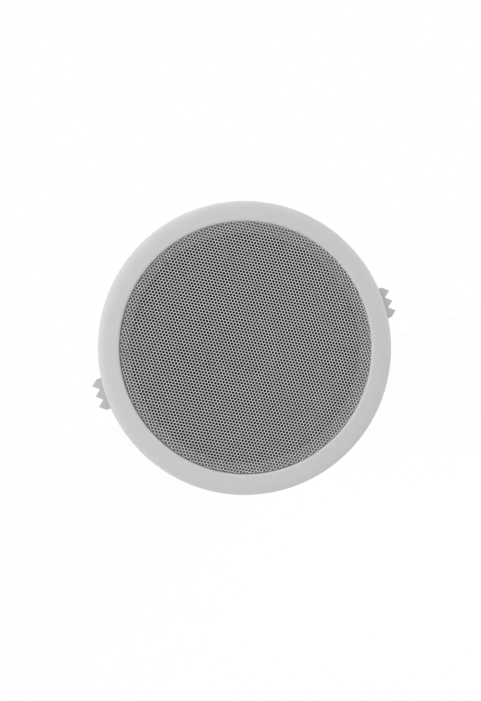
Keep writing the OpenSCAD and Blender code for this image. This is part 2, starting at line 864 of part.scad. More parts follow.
// Place of each way of the terminal block along the strap's width
function way_x(i) = (i - (block_ways - 1) / 2) * way_pitch;

// Screw terminal block on the back of the strap, with a wire entry on both sides of each way
module terminal_block() {
    entry_w = way_pitch * 0.52;
    color([0.86, 0.85, 0.80]) face_out() difference() {
        translate([-block_l / 2, block_y - block_w / 2, strap_back]) cube([block_l, block_w, block_h]);
        for (i = [0:block_ways - 1]) translate([way_x(i), block_y, strap_back + block_floor]) {
            cylinder(h = block_h, d = way_pitch * 0.5);
            translate([-entry_w / 2, -block_w, 0]) cube([entry_w, 2 * block_w, entry_h]);
        }
        at_block_screws()
            translate([0, 0, strap_back - cut]) cylinder(h = block_h + 2 * cut, d = block_hole_d - 0.4);
    }
}

module terminal_screws() {
    screw_z = strap_back + block_floor;
    screw_h = block_h - block_floor - 1.5;
    color([0.80, 0.66, 0.30]) face_out()
        for (i = [0:block_ways - 1]) translate([way_x(i), block_y, 0]) difference() {
            translate([0, 0, screw_z]) cylinder(h = screw_h, d = way_pitch * 0.5 - 0.2);
            translate([0, 0, screw_z + screw_h]) cube([way_pitch, 0.8, 1.6], center = true);
        }
}

// Wires lie on the strap, dip past its edge and end on the winding's inner face
lay_z = strap_back + wire_d / 2 + 0.1;
entry_z = strap_back + block_floor + entry_h / 2;
entry_y = block_y - block_w / 2;
edge_x = strap_w / 2;
coil_y = core_y + winding_l / 2 + 0.2;
lead_x = 8.6;
tag_end = spoke_point(0, 4.56, 5.03);

// Wires from the terminal block to the transformer's primary
input_routes = [
    [[way_pitch, entry_y + 3.6, entry_z], [way_pitch, entry_y - 1, entry_z],
        [way_pitch + 0.2, entry_y - 5.5, lay_z + 2.1], [way_pitch + 0.8, entry_y - 10, lay_z + 0.7],
        [way_pitch + 1, entry_y - 16, lay_z], [11, strap_hole_y - 2, lay_z], [11, 0, lay_z],
        [11, 2 - strap_hole_y, lay_z], [11, coil_y + 20.8, lay_z], [edge_x - 3, coil_y + 14.8, lay_z],
        [edge_x - 0.3, coil_y + 10.6, lay_z + 0.1], [edge_x + 1.5, coil_y + 8.6, lay_z - 0.6],
        [edge_x + 1.9, coil_y + 6.8, lay_z - 3.4], [edge_x + 0.4, coil_y + 3.8, lay_z - 7.4],
        [lead_x + 4.4, coil_y + 2.8, lay_z - 9.6],
        [lead_x + 1.4, coil_y + 1.5, lay_z - 11.9], [lead_x, coil_y, lay_z - 12.7]],
    [[0, entry_y + 3.6, entry_z], [0, entry_y - 1, entry_z], [1.2, entry_y - 5.5, lay_z + 2.1],
        [4, entry_y - 9, lay_z + 0.7], [7, entry_y - 13, lay_z], [8.6, entry_y - 19, lay_z],
        [8.8, strap_hole_y - 4, lay_z], [8.8, 0, lay_z], [8.8, 2 - strap_hole_y, lay_z],
        [8.8, coil_y + 19.8, lay_z], [edge_x - 4.6, coil_y + 12.4, lay_z],
        [edge_x - 1.8, coil_y + 7.8, lay_z], [edge_x + 1, coil_y + 4.8, lay_z - 0.4],
        [edge_x + 2.8, coil_y + 3, lay_z - 3.1], [edge_x + 2.8, coil_y + 2, lay_z - 7.6],
        [lead_x + 5.4, coil_y + 1.8, lay_z - 14.6], [lead_x + 1.2, coil_y + 1.4, lay_z - 17.9],
        [lead_x, coil_y, lay_z - 18.5]]
];
// Wires from the transformer's secondary to the solder tags
output_routes = [
    [[-lead_x, coil_y, lay_z - 12.7], [-lead_x - 1.4, coil_y + 1.5, lay_z - 11.9],
        [-lead_x - 4.4, coil_y + 2.8, lay_z - 9.6], [-edge_x - 2, coil_y + 4.8, lay_z - 5.1],
        [-edge_x - 3, coil_y + 8.8, lay_z - 1.1], [-edge_x - 3, coil_y + 15.8, lay_z + 0.9],
        [-edge_x - 3, -strap_hole_y - 2, lay_z + 1.3], [-edge_x - 3, 0, lay_z + 1.3],
        [-edge_x - 3, strap_hole_y + 2, lay_z + 1.3], [-edge_x - 3, entry_y - 11, lay_z + 0.9],
        [-edge_x - 2.8, entry_y - 1, lay_z - 1.6], [-edge_x - 2.4, entry_y + 7, lay_z - 7.1],
        [-edge_x - 1.6, tag_end[1] - 1.6, lay_z - 16.1], [-tag_x - 3.9, tag_end[1] + 2.4, tag_end[2] + 17],
        [-tag_x - 1.1, tag_end[1] + 2.8, tag_end[2] + 8], [-tag_x, tag_end[1] + 1.6, tag_end[2] + 2.4],
        [-tag_x, tag_end[1], tag_end[2]]],
    [[-lead_x, coil_y, lay_z - 18.5], [-lead_x - 1.2, coil_y + 1.4, lay_z - 17.9],
        [-lead_x - 5.4, coil_y + 1.8, lay_z - 14.6], [-edge_x - 4, coil_y + 2.8, lay_z - 7.6],
        [-edge_x - 5.4, coil_y + 6.8, lay_z - 1.6], [-edge_x - 5.4, coil_y + 14.8, lay_z + 0.9],
        [-edge_x - 5.4, -strap_hole_y - 2, lay_z + 1.3], [-edge_x - 5.4, 0, lay_z + 1.3],
        [-edge_x - 5.4, strap_hole_y + 2, lay_z + 1.3], [-edge_x - 5, entry_y - 9, lay_z + 0.9],
        [-edge_x - 3.6, entry_y + 2.6, lay_z - 1.6], [-edge_x + 1, entry_y + 11, lay_z - 7.5],
        [-5, tag_end[1] + 1.4, lay_z - 17.1], [4, tag_end[1] + 4.4, tag_end[2] + 17],
        [tag_x - 1.1, tag_end[1] + 3.8, tag_end[2] + 8], [tag_x, tag_end[1] + 1.6, tag_end[2] + 2.4],
        [tag_x, tag_end[1], tag_end[2]]]
];

module input_wires() {
    color([0.75, 0.12, 0.10]) face_out()
        for (route = input_routes) wire(curve(route, 3), wire_d);
}

module output_wires() {
    color([0.10, 0.10, 0.10]) face_out()
        for (route = output_routes) wire(curve(route, 3), wire_d);
}

bezel_frame();
grille();
front_gasket();
driver_basket();
surround();
cone();
dust_cap();
coil_former();
voice_coil();
spider();
top_plate();
magnet();
yoke();
tag_strip();
solder_tags();
tinsel_leads();
right_bracket();
left_bracket();
right_clip_arm();
left_clip_arm();
right_clip_pin();
left_clip_pin();
right_clip_spring();
left_clip_spring();
bracket_rivets();
driver_screws();
rear_strap();
strap_screws();
transformer_core();
transformer_winding();
transformer_clamp();
clamp_screws();
terminal_block();
terminal_screws();
input_wires();
output_wires();
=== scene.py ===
"""Looks of the recessed speaker: finishes, the fine perforated grille, and the parts that flex."""
import json
import math

import bmesh
import bpy
from mathutils import Matrix, Vector
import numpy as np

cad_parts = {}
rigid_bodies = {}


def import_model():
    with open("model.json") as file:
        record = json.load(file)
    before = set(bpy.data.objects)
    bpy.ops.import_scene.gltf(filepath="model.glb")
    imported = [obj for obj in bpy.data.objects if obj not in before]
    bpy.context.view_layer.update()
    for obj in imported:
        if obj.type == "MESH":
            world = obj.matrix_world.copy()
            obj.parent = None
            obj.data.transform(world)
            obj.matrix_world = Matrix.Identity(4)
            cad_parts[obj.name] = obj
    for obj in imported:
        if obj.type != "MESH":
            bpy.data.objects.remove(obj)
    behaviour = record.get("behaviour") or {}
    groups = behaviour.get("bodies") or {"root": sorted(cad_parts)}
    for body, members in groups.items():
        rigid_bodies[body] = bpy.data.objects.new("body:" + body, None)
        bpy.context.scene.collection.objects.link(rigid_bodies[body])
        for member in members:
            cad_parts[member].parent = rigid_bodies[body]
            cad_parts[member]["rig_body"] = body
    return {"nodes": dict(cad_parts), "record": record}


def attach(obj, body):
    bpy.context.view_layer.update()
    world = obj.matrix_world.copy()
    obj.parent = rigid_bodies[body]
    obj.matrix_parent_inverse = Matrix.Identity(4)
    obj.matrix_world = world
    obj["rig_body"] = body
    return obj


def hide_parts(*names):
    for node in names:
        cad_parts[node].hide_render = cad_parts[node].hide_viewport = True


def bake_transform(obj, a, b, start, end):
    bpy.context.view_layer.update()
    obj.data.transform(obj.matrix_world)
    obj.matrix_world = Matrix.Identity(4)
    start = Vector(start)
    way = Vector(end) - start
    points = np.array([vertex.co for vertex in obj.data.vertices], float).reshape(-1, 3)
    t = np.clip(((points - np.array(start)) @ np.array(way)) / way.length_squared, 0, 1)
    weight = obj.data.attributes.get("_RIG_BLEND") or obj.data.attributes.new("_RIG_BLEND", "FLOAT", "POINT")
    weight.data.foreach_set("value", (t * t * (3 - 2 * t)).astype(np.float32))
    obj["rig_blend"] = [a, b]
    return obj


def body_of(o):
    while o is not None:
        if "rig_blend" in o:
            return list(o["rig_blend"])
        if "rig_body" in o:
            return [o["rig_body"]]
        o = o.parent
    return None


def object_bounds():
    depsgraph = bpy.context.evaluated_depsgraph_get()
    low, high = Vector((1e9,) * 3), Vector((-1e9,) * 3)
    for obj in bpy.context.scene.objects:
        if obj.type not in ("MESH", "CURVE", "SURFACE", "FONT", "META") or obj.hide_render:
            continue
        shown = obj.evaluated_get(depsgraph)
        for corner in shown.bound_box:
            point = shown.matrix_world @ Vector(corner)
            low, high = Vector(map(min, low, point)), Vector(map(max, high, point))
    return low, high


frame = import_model()
cad_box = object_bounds()
nodes = frame["nodes"]
SLOTS = {row["node"]: row["material_slot"] for row in frame["record"]["subparts"]}
MM = 0.001

# Sizes of the grille, in metres, in the part's own frame: the face looks to -Y
GRILLE_RADIUS = 85.3 * MM
GRILLE_THICKNESS = 0.9 * MM
GRILLE_FRONT = -3.6 * MM
# The disc lies off centre in its recess, up and to the right
GRILLE_OFFSET = 0.42 * MM
GRILLE_OFFSET_ANGLE = math.radians(27)
HOLE_PITCH = 2.19 * MM
HOLE_DIAMETER = 2.10 * MM
# A six-sided hole reaches this much beyond the round one that it stands for
HOLE_REACH = 1.05
# Sides of the disc's outline
RIM_SIDES = 180
# Only what lies this close to the axis gets painted shade by its depth: the bezel's ledge and throat behind
# the grille, and the walls of the grille's holes
PAINTED_SHADE_RADIUS = 85.6 * MM

# Edges sharper than this are creased, or rounded with this many segments
CREASE = math.radians(35)
ROUND_SEGMENTS = 2
# Thin shells whose shading follows the curve and not the largest faces
CURVED_SHELLS = ("driver_basket", "bezel_frame")


# Shader node groups

def new_group(name, inputs, outputs):
    """An empty shader group with float, vector or colour sockets."""
    group = bpy.data.node_groups.new(name, "ShaderNodeTree")
    kinds = {"float": "NodeSocketFloat", "vector": "NodeSocketVector", "color": "NodeSocketColor"}
    for label, kind, value in inputs:
        socket = group.interface.new_socket(label, in_out="INPUT", socket_type=kinds[kind])
        if kind != "vector":
            socket.default_value = value
    for label, kind in outputs:
        group.interface.new_socket(label, in_out="OUTPUT", socket_type=kinds[kind])
    source = group.nodes.new("NodeGroupInput")
    sink = group.nodes.new("NodeGroupOutput")
    return group, source, sink


def add(tree, kind, **values):
    """A node in the tree, with its own settings and its sockets' values."""
    node = tree.nodes.new(kind)
    for key, value in values.items():
        if key in node.inputs:
            node.inputs[key].default_value = value
        else:
            setattr(node, key, value)
    return node


def math_node(tree, operation, first, second=0.0):
    """A maths node fed by sockets or plain numbers."""
    node = tree.nodes.new("ShaderNodeMath")
    node.operation = operation
    for place, value in enumerate((first, second)):
        if isinstance(value, (int, float)):
            node.inputs[place].default_value = value
        else:
            tree.links.new(value, node.inputs[place])
    return node.outputs[0]


def make_fine_grain():
    """Even, fine grain of a moulded or coated surface: colour, roughness and height."""
    group, source, sink = new_group(
        "fine_grain",
        [("Vector", "vector", None), ("Base", "color", (0.5, 0.5, 0.5, 1)), ("Change", "float", 0.03),
         ("Roughness", "float", 0.5), ("Roughness change", "float", 0.08), ("Scale", "float", 1500.0)],
        [("Color", "color"), ("Roughness", "float"), ("Height", "float")])
    links = group.links
    fine = add(group, "ShaderNodeTexNoise", Detail=3.0, Roughness=0.6)
    links.new(source.outputs["Vector"], fine.inputs["Vector"])
    links.new(source.outputs["Scale"], fine.inputs["Scale"])
    broad = add(group, "ShaderNodeTexNoise", Scale=22.0, Detail=2.0)
    links.new(source.outputs["Vector"], broad.inputs["Vector"])
    both = math_node(group, "ADD", math_node(group, "MULTIPLY", fine.outputs["Fac"], 0.45),
                     math_node(group, "MULTIPLY", broad.outputs["Fac"], 0.55))
    swing = math_node(group, "SUBTRACT", both, 0.5)
    value = math_node(group, "ADD", math_node(group, "MULTIPLY", swing, source.outputs["Change"]), 1.0)
    shade = add(group, "ShaderNodeHueSaturation", Hue=0.5, Saturation=1.0, Fac=1.0)
    links.new(value, shade.inputs["Value"])
    links.new(source.outputs["Base"], shade.inputs["Color"])
    rough = math_node(group, "ADD", source.outputs["Roughness"],
                      math_node(group, "MULTIPLY", swing, source.outputs["Roughness change"]))
    links.new(shade.outputs["Color"], sink.inputs["Color"])
    links.new(rough, sink.inputs["Roughness"])
    links.new(fine.outputs["Fac"], sink.inputs["Height"])
    return group


def axis_square(group, source):
    """The point's own coordinates, and the square of its distance from the part's axis."""
    apart = group.nodes.new("ShaderNodeSeparateXYZ")
    group.links.new(source.outputs["Vector"], apart.inputs[0])
    x, y, z = apart.outputs
    square = math_node(group, "ADD", math_node(group, "MULTIPLY", x, x), math_node(group, "MULTIPLY", z, z))
    return y, square


def make_ring_lines():
    """Turned or pressed rings round the part's axis: a height from the distance to the axis."""
    group, source, sink = new_group(
        "ring_lines",
        [("Vector", "vector", None), ("Rings per metre", "float", 4000.0), ("Wobble", "float", 0.3)],
        [("Height", "float")])
    square = axis_square(group, source)[1]
    radius = math_node(group, "SQRT", square)
    radius = math_node(group, "MULTIPLY", radius, source.outputs["Rings per metre"])
    noise = group.nodes.new("ShaderNodeTexNoise")
    noise.noise_dimensions = "1D"
    noise.inputs["Scale"].default_value = 1.0
    noise.inputs["Detail"].default_value = 2.0
    group.links.new(radius, noise.inputs["W"])
    group.links.new(noise.outputs["Fac"], sink.inputs["Height"])
    return group


def make_painted_shade_mask():
    """Mask of painted shade: 1 within the shaded radius of the axis and deeper than the given plane, 0
    elsewhere.
    """
    group, source, sink = new_group("deeper_than", [("Vector", "vector", None), ("Depth", "float", 0.0)],
                                    [("Mask", "float")])
    depth, square = axis_square(group, source)
    inside = math_node(group, "LESS_THAN", square, PAINTED_SHADE_RADIUS ** 2)
    behind = math_node(group, "GREATER_THAN", depth, source.outputs["Depth"])
    group.links.new(math_node(group, "MULTIPLY", inside, behind), sink.inputs["Mask"])
    return group


# Places of the colour sockets on a mix node
COLOR_A = 6
COLOR_B = 7
COLOR_RESULT = 2

GRAIN = make_fine_grain()
RINGS = make_ring_lines()
PAINTED_SHADE_MASK = make_painted_shade_mask()


def finish(name, color, roughness, metallic=0.0, change=0.06, rough_change=0.12, scale=1500.0,
           bump=0.1, depth=0.05, stretch=(1, 1, 1), rings=0.0, ring_bump=0.0, sheen=0.0, coat=0.0,
           specular=0.5, shade=None):
    """A procedural material: grained colour and roughness, fine bump, rings where it was turned, and painted
    shade where asked.

    shade is a depth in millimetres and the share of the colour that is left behind it; near the axis, behind
    that depth, the colour is darkened as painted shade.
    """
    material = bpy.data.materials.new(name)
    material.use_nodes = True
    tree = material.node_tree
    shader = tree.nodes["Principled BSDF"]
    shader.inputs["Metallic"].default_value = metallic
    shader.inputs["Sheen Weight"].default_value = sheen
    shader.inputs["Coat Weight"].default_value = coat
    shader.inputs["Specular IOR Level"].default_value = specular
    place = tree.nodes.new("ShaderNodeTexCoord")
    mapping = add(tree, "ShaderNodeMapping", Scale=stretch)
    tree.links.new(place.outputs["Object"], mapping.inputs["Vector"])
    grain = tree.nodes.new("ShaderNodeGroup")
    grain.node_tree = GRAIN
    grain.inputs["Base"].default_value = (*color, 1)
    grain.inputs["Change"].default_value = change
    grain.inputs["Roughness"].default_value = roughness
    grain.inputs["Roughness change"].default_value = rough_change
    grain.inputs["Scale"].default_value = scale
    tree.links.new(mapping.outputs["Vector"], grain.inputs["Vector"])
    # Painted shade: near the axis and behind the given depth, the colour is multiplied down to the given
    # share
    if shade:
        mask = tree.nodes.new("ShaderNodeGroup")
        mask.node_tree = PAINTED_SHADE_MASK
        mask.inputs["Depth"].default_value = shade[0] * MM
        tree.links.new(place.outputs["Object"], mask.inputs["Vector"])
        darker = add(tree, "ShaderNodeMix", data_type="RGBA", blend_type="MULTIPLY")
        darker.inputs[COLOR_B].default_value = (shade[1], shade[1], shade[1], 1)
        tree.links.new(mask.outputs["Mask"], darker.inputs[0])
        tree.links.new(grain.outputs["Color"], darker.inputs[COLOR_A])
        tree.links.new(darker.outputs[COLOR_RESULT], shader.inputs["Base Color"])
    else:
        tree.links.new(grain.outputs["Color"], shader.inputs["Base Color"])
    tree.links.new(grain.outputs["Roughness"], shader.inputs["Roughness"])
    relief = add(tree, "ShaderNodeBump", Strength=bump, Distance=depth * MM)
    tree.links.new(grain.outputs["Height"], relief.inputs["Height"])
    if rings:
        turned = tree.nodes.new("ShaderNodeGroup")
        turned.node_tree = RINGS
        turned.inputs["Rings per metre"].default_value = rings
        tree.links.new(place.outputs["Object"], turned.inputs["Vector"])
        second = add(tree, "ShaderNodeBump", Strength=ring_bump, Distance=depth * MM)
        tree.links.new(turned.outputs["Height"], second.inputs["Height"])
        tree.links.new(second.outputs["Normal"], relief.inputs["Normal"])
    tree.links.new(relief.outputs["Normal"], shader.inputs["Normal"])
    return material


FINISHES = {
    # The bezel's ledge and throat behind the grille, deeper than 2.9 mm, get painted shade: their colour
    # drops to 0.3 of the plastic's
    "bezel_plastic": finish("bezel_plastic", (0.565, 0.565, 0.562), 0.55, change=0.03, scale=2200.0,
                            bump=0.12, depth=0.03, shade=(-2.9, 0.3)),
    # The walls and back of the grille's holes, behind its front face, get painted shade: their colour drops
    # to 0.4 of the paint's
    "grille_paint": finish("grille_paint", (0.90, 0.90, 0.90), 0.6, change=0.05, scale=2600.0,
                           bump=0.15, depth=0.03, shade=(-3.56, 0.4)),
    "gasket_foam": finish("gasket_foam", (0.012, 0.012, 0.012), 0.95, change=0.3, scale=1200.0,
                          bump=0.6, depth=0.2),
    "basket_paint": finish("basket_paint", (0.012, 0.012, 0.013), 0.38, change=0.2, scale=900.0,
                           bump=0.12, depth=0.05, coat=0.1),
    "surround_rubber": finish("surround_rubber", (0.014, 0.014, 0.014), 0.62, change=0.15, scale=900.0,
                              bump=0.1, specular=0.2),
    "cone_paper": finish("cone_paper", (0.016, 0.016, 0.017), 0.85, change=0.5, scale=700.0,
                         bump=0.5, depth=0.12, specular=0.12),
    "cap_paper": finish("cap_paper", (0.013, 0.013, 0.014), 0.7, change=0.3, scale=900.0, bump=0.3,
                        specular=0.12),
    "former_paper": finish("former_paper", (0.42, 0.28, 0.13), 0.7, change=0.25, scale=500.0, bump=0.2),
    "coil_wire": finish("coil_wire", (0.55, 0.22, 0.08), 0.35, metallic=0.9, scale=900.0, bump=0.1),
    "spider_cloth": finish("spider_cloth", (0.42, 0.27, 0.08), 0.8, change=0.35, scale=1400.0,
                           bump=0.6, depth=0.15, sheen=0.3),
    "plated_steel": finish("plated_steel", (0.50, 0.51, 0.52), 0.40, metallic=1.0, rings=9000.0,
                           ring_bump=0.25, bump=0.05),
    "magnet_ferrite": finish("magnet_ferrite", (0.045, 0.045, 0.047), 0.45, change=0.4, scale=350.0,
                             bump=0.35, depth=0.08),
    "phenolic_board": finish("phenolic_board", (0.16, 0.07, 0.025), 0.5, change=0.3, scale=500.0,
                             stretch=(1, 4, 1), bump=0.1),
    "tag_brass": finish("tag_brass", (0.72, 0.56, 0.28), 0.3, metallic=1.0, scale=1200.0, bump=0.06),
    "tinsel_braid": finish("tinsel_braid", (0.45, 0.27, 0.12), 0.5, metallic=0.6, scale=3000.0, bump=0.7),
    "zinc_steel": finish("zinc_steel", (0.55, 0.57, 0.60), 0.36, metallic=1.0, change=0.14,
                         rough_change=0.25, scale=260.0, bump=0.05),
    "clip_paint": finish("clip_paint", (0.50, 0.50, 0.495), 0.5, change=0.05, scale=2000.0, bump=0.1),
    "spring_steel": finish("spring_steel", (0.45, 0.46, 0.48), 0.28, metallic=1.0, scale=800.0, bump=0.05),
    "black_steel": finish("black_steel", (0.02, 0.02, 0.021), 0.35, change=0.2, scale=900.0, coat=0.1),
    "lamination_steel": finish("lamination_steel", (0.055, 0.055, 0.06), 0.42, metallic=0.5,
                               change=0.6, scale=2500.0, stretch=(0.02, 0.02, 1), bump=0.8, depth=0.15),
    "winding_tape": finish("winding_tape", (0.62, 0.45, 0.10), 0.42, change=0.12, scale=300.0,
                           bump=0.08, coat=0.2),
    "block_plastic": finish("block_plastic", (0.72, 0.71, 0.66), 0.42, change=0.04, scale=900.0, bump=0.06),
    "red_wire": finish("red_wire", (0.42, 0.015, 0.012), 0.4, change=0.08, scale=700.0, bump=0.05),
    "black_wire": finish("black_wire", (0.012, 0.012, 0.013), 0.4, change=0.2, scale=700.0, bump=0.05),
}


# Meshes

def piece_from(name, bm, slot_name, body, smooth=True, replaces=()):
    """Turns a bmesh into a piece with its finish, riding on its body if it has just one."""
    if smooth:
        for edge in bm.edges:
            if edge.is_manifold and edge.calc_face_angle() > CREASE:
                edge.smooth = False
    mesh = bpy.data.meshes.new(name)
    bm.to_mesh(mesh)
    bm.free()
    for polygon in mesh.polygons:
        polygon.use_smooth = smooth
    mesh.materials.append(FINISHES[slot_name])
    piece = bpy.data.objects.new(name, mesh)
    bpy.context.scene.collection.objects.link(piece)
    if replaces:
        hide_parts(*replaces)
    if body:
        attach(piece, body)
    return piece


def softened(node, width):
    """A merged copy of a CAD node with its sharp edges rounded, which stands for the node."""
    source = nodes[node]
    bm = bmesh.new()
    bm.from_mesh(source.data)
    bmesh.ops.transform(bm, matrix=source.matrix_world, verts=bm.verts)
    bmesh.ops.remove_doubles(bm, verts=bm.verts, dist=0.004 * MM)
    bmesh.ops.dissolve_limit(bm, angle_limit=math.radians(0.4), verts=bm.verts, edges=bm.edges)
    body = body_of(source)[0]
    piece = piece_from(node + "_finished", bm, SLOTS[node], body, replaces=(node,))
    if width:
        bevel = piece.modifiers.new("edges", "BEVEL")
        bevel.limit_method = "ANGLE"
        bevel.angle_limit = CREASE
        bevel.width = width * MM
        bevel.segments = ROUND_SEGMENTS
        bevel.use_clamp_overlap = True
        for edge in piece.data.edges:
            edge.use_edge_sharp = False
        if node in CURVED_SHELLS:
            bevel.harden_normals = True
        else:
            normals = piece.modifiers.new("flat_faces", "WEIGHTED_NORMAL")
            normals.mode = "FACE_AREA"
            normals.weight = 50
    return piece


def point(x, y, z):
    """From the drawing's millimetres, y downwards and z into the panel, to the part's own metres."""
    return Vector((x, z, -y)) * MM


def closed_spin(bm, profile, steps=192):
    """Spins a closed outline of radius and depth pairs, in millimetres, round the axis."""
    verts = [bm.verts.new(point(r, 0, z)) for r, z in profile]
    edges = [bm.edges.new((verts[i - 1], verts[i])) for i in range(len(verts))]
    bmesh.ops.spin(bm, geom=verts + edges, cent=(0, 0, 0), axis=(0, 1, 0), angle=2 * math.pi,
                   steps=steps, use_merge=True)
    bmesh.ops.remove_doubles(bm, verts=bm.verts, dist=0.001 * MM)
    bmesh.ops.recalc_face_normals(bm, faces=bm.faces)


def arc(x, y, rx, ry, start, end, count):
    """Points of an arc, in degrees."""
    angles = [math.radians(start + (end - start) * i / count) for i in range(count + 1)]
    return [(x + rx * math.cos(a), y + ry * math.sin(a)) for a in angles]


def through(points, count):
    """A smooth curve through points, with count steps between each two."""
    made = []
    last = len(points) - 1
    for i in range(last):
        a, b = Vector(points[max(i - 1, 0)]), Vector(points[i])
        c, d = Vector(points[i + 1]), Vector(points[min(i + 2, last)])
        for k in range(count):
            t = k / count
            made.append(0.5 * (2 * b + (c - a) * t + (2 * a - 5 * b + 4 * c - d) * t * t
                               + (3 * b - a - 3 * c + d) * t * t * t))
    made.append(Vector(points[last]))
    return made


def tube(bm, points, radius, sides=14):
    """A round wire along the points, which are in the drawing's millimetres; closed at its ends."""
    path = [point(*p) for p in points]
    count = len(path)
    rings = []
    side = None
    for i in range(count):
        ahead = (path[min(i + 1, count - 1)] - path[max(i - 1, 0)]).normalized()
        if side is None:
            side = ahead.orthogonal().normalized()
        side = (side - ahead * side.dot(ahead)).normalized()
        other = ahead.cross(side)
        turns = [2 * math.pi * k / sides for k in range(sides)]
        rings.append([bm.verts.new(path[i] + radius * MM * (math.cos(a) * side + math.sin(a) * other))
                      for a in turns])
    for first, second in zip(rings, rings[1:]):
        for k in range(sides):
            bm.faces.new((first[k - 1], first[k], second[k], second[k - 1]))
    bm.faces.new(rings[0])
    bm.faces.new(rings[-1])
    bmesh.ops.recalc_face_normals(bm, faces=bm.faces)


def eased(t):
    """Smooth step from 0 to 1."""
    t = min(max(t, 0.0), 1.0)
    return t * t * (3 - 2 * t)


def bend_between(piece, moving, weight):
    """The piece follows the root where weight is 0 and the moving body where it is 1."""
    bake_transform(piece, "root", moving, (0, 0, 0), (0, 1, 0))
    layer = piece.data.attributes["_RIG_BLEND"]
    layer.data.foreach_set("value", [weight(v.co / MM) for v in piece.data.vertices])


def from_axis(co):
    """Distance from the part's axis."""
    return math.hypot(co.x, co.z)


def perforated_cell(bm):
    """One hole's share of the sheet: a strip towards three neighbours and two corner triangles."""
    reach = HOLE_DIAMETER / 2 * HOLE_REACH
    pitch = HOLE_PITCH
    across = pitch * math.sqrt(3) / 2
    steps = [Vector((0, 0, pitch)), Vector((across, 0, pitch / 2)), Vector((across, 0, -pitch / 2))]

    def corner(degrees):
        angle = math.radians(degrees)
        return Vector((reach * math.cos(angle), 0, reach * math.sin(angle)))

    def face(*points):
        bm.faces.new([bm.verts.new(p) for p in points])

    face(corner(120), corner(60), steps[0] + corner(-60), steps[0] + corner(-120))
    face(corner(60), corner(0), steps[1] + corner(-120), steps[1] + corner(180))
    face(corner(0), corner(-60), steps[2] + corner(180), steps[2] + corner(120))
    face(corner(60), steps[1] + corner(180), steps[0] + corner(-60))
    face(corner(0), steps[2] + corner(120), steps[1] + corner(-120))


def copy_all(bm, step):
    """Copies everything in the bmesh to a place one step away."""
    copy = bmesh.ops.duplicate(bm, geom=bm.faces[:] + bm.verts[:] + bm.edges[:])
    moved = [item for item in copy["geom"] if isinstance(item, bmesh.types.BMVert)]
    bmesh.ops.translate(bm, vec=step, verts=moved)


def doubled(bm, step, times):
    """Sets copies of everything in the bmesh in a row, doubling it each time; gives their number."""
    for turn in range(times):
        copy_all(bm, step * 2 ** turn)
    return 2 ** times


def make_grille():
    """The fine perforated disc: staggered holes in upright rows, cut to a circle."""
    across = HOLE_PITCH * math.sqrt(3) / 2
    bm = bmesh.new()
    perforated_cell(bm)
    rows = doubled(bm, Vector((0, 0, HOLE_PITCH)), 7)
    bmesh.ops.remove_doubles(bm, verts=bm.verts, dist=0.02 * MM)
    columns = doubled(bm, Vector((2 * across, 0, 0)), 6)
    copy_all(bm, Vector((across, 0, HOLE_PITCH / 2)))
    middle = Vector((across * columns, 0, HOLE_PITCH * rows / 2))
    bmesh.ops.translate(bm, vec=-middle, verts=bm.verts)
    limit = GRILLE_RADIUS + 2 * HOLE_PITCH
    far = [v for v in bm.verts if v.co.length > limit]
    bmesh.ops.delete(bm, geom=far, context="VERTS")
    bmesh.ops.remove_doubles(bm, verts=bm.verts, dist=0.02 * MM)
    cut_to_circle(bm)
    place = Vector((GRILLE_OFFSET * math.cos(GRILLE_OFFSET_ANGLE), GRILLE_FRONT + GRILLE_THICKNESS,
                    GRILLE_OFFSET * math.sin(GRILLE_OFFSET_ANGLE)))
    bmesh.ops.translate(bm, vec=place, verts=bm.verts)
    bm.normal_update()
    bmesh.ops.reverse_faces(bm, faces=[face for face in bm.faces if face.normal.y < 0])
    bmesh.ops.solidify(bm, geom=bm.faces[:], thickness=GRILLE_THICKNESS)
    bmesh.ops.recalc_face_normals(bm, faces=bm.faces)
    piece_from("perforated_grille", bm, "grille_paint", "root", smooth=False, replaces=("grille",))


def cut_to_circle(bm):
    """Trims the sheet to a round disc with straight cuts, each through the faces near its own chord."""
    chord = 2 * math.pi / RIM_SIDES
    rim = GRILLE_RADIUS - 2.5 * HOLE_PITCH
    for i in range(RIM_SIDES):
        angle = (i + 0.5) * chord
        out = Vector((math.cos(angle), 0, math.sin(angle)))
        near = []
        for face in bm.faces:
            middle = face.calc_center_median()
            if middle.length < rim:
                continue
            if middle.normalized().dot(out) > math.cos(1.6 * chord + 0.02):
                near.append(face)
        geom = near + [edge for face in near for edge in face.edges]
        geom += [vert for face in near for vert in face.verts]
        bmesh.ops.bisect_plane(bm, geom=list(dict.fromkeys(geom)), plane_co=out * GRILLE_RADIUS,
                               plane_no=out, clear_outer=True)


# Driver

CONE_RIM = 7.8
CONE_BACK = 1.04
NECK_DEPTH = 29.0
NECK_RADIUS = 13.0
CONE_INNER = 60.0
CONE_RADIUS = 63.5
RIB_RADII = (53, 46.5, 40, 33.5, 27)


def cone_depth(r):
    """Depth of the cone's front face at a radius, without its ribs."""
    share = max(CONE_INNER - r, 0) / (CONE_INNER - NECK_RADIUS)
    return CONE_RIM - 0.8 + (NECK_DEPTH - CONE_RIM) * share ** 1.12


def rib_lift(r):
    """Height of the pressed ribs at a radius."""
    return sum(0.32 * math.exp(-((r - middle) / 0.75) ** 2) for middle in RIB_RADII)


def make_cone():
    """Paper cone with pressed ribs; the same sheet shows its ribs on both sides."""
    radii = [CONE_INNER + (NECK_RADIUS - CONE_INNER) * i / 150 for i in range(151)]
    front = [(r, cone_depth(r) - rib_lift(r)) for r in radii]
    back = [(r, cone_depth(r) + CONE_BACK - rib_lift(r)) for r in reversed(radii)]
    bm = bmesh.new()
    closed_spin(bm, [(CONE_RADIUS, 7.0)] + front + back + [(CONE_RADIUS, CONE_RIM)], 160)
    piece_from("ribbed_cone", bm, "cone_paper", "cone_assembly", replaces=("cone",))


